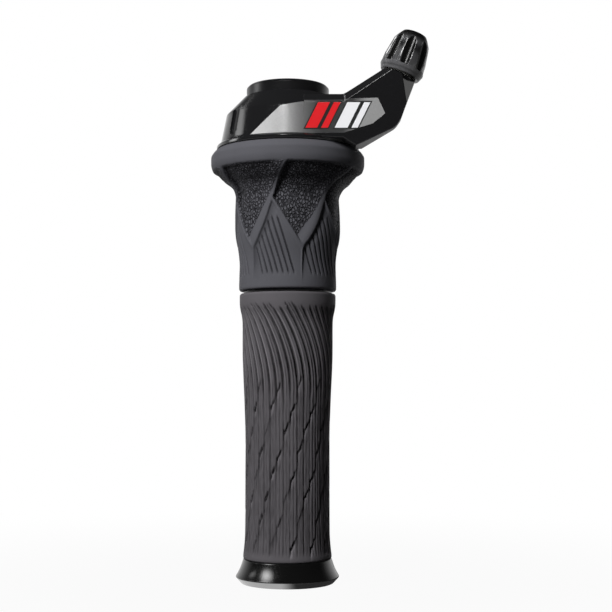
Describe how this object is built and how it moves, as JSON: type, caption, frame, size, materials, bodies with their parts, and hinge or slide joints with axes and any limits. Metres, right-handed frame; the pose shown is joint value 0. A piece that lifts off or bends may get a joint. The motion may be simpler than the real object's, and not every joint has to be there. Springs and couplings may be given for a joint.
{
  "type": "twist grip shifter",
  "caption": "Twist grip gear shifter with a rubber twist sleeve, a lock-on rubber grip, a black cover with a cable arm and a fluted cable adjuster.",
  "frame": {"origin": "on the handlebar axis, at the outer face of the end clamp ring", "axes": "+Z along the handlebar towards the cover, -Y out of the cover's front, +X towards the cable adjuster"},
  "size_m": [0.0798, 0.0572, 0.2004],
  "materials": {
    "twist_rubber": "matte",
    "grip_rubber": "matte",
    "cover_black": "polished",
    "black_anodised": "satin black",
    "black_nylon": "satin",
    "white_nylon": "satin",
    "bright_steel": "brushed",
    "black_steel": "black oxide"
  },
  "bodies": {
    "housing": {"clamp_body": "black_nylon", "clamp_bolt": "black_steel", "clamp_nut": "black_steel", "shifter_cover": "cover_black", "cover_screws": "black_steel", "dust_seal": "grip_rubber", "cable_guide": "white_nylon", "detent_spring": "bright_steel", "spring_rivets": "bright_steel", "upper_washer": "white_nylon", "thrust_washer": "black_nylon", "snap_ring": "bright_steel", "grip_core": "black_nylon", "grip_sleeve": "grip_rubber", "end_clamp_ring": "black_anodised", "end_clamp_bolt": "black_steel", "adjuster_spring": "bright_steel"},
    "twist_grip": {"twist_barrel": "black_nylon", "twist_rubber": "twist_rubber", "cable_spool": "white_nylon", "detent_ring": "bright_steel"},
    "click_ring": {"click_ring": "white_nylon"},
    "adjuster_knob": {"adjuster_knob": "black_anodised"},
    "bearing_row_1": {"bearing_cage_1": "white_nylon", "bearing_balls_1": "bright_steel"},
    "bearing_row_2": {"bearing_cage_2": "white_nylon", "bearing_balls_2": "bright_steel"},
    "bearing_row_3": {"bearing_cage_3": "white_nylon", "bearing_balls_3": "bright_steel"}
  },
  "joints": [
    {"name": "twist_turn", "type": "hinge", "parent": "housing", "child": "twist_grip", "pos_m": [0, 0, 0.13], "axis": [0, 0, -1], "range_deg": [0, 94.5], "deforming": ["detent_spring"]},
    {"name": "adjuster_slide", "type": "slide", "parent": "housing", "child": "click_ring", "axis": [0.3584, 0, 0.9336], "range_m": [0, 0.00301], "deforming": ["adjuster_spring"]},
    {"name": "adjuster_turn", "type": "hinge", "parent": "click_ring", "child": "adjuster_knob", "pos_m": [0.0406, -0.0172, 0.1839], "axis": [0.3584, 0, 0.9336], "range_deg": [0, 1080]},
    {"name": "bearing_row_1_turn", "type": "hinge", "parent": "housing", "child": "bearing_row_1", "pos_m": [0, 0, 0.114], "axis": [0, 0, -1], "range_deg": [0, 51]},
    {"name": "bearing_row_2_turn", "type": "hinge", "parent": "housing", "child": "bearing_row_2", "pos_m": [0, 0, 0.135], "axis": [0, 0, -1], "range_deg": [0, 51]},
    {"name": "bearing_row_3_turn", "type": "hinge", "parent": "housing", "child": "bearing_row_3", "pos_m": [0, 0, 0.154], "axis": [0, 0, -1], "range_deg": [0, 51]}
  ],
  "couplings": [
    {"joint": "adjuster_slide", "follows": "adjuster_turn", "m_per_rad": 0.00015915},
    {"joint": "bearing_row_1_turn", "follows": "twist_turn", "ratio": 0.53774},
    {"joint": "bearing_row_2_turn", "follows": "twist_turn", "ratio": 0.53774},
    {"joint": "bearing_row_3_turn", "follows": "twist_turn", "ratio": 0.53774}
  ]
}
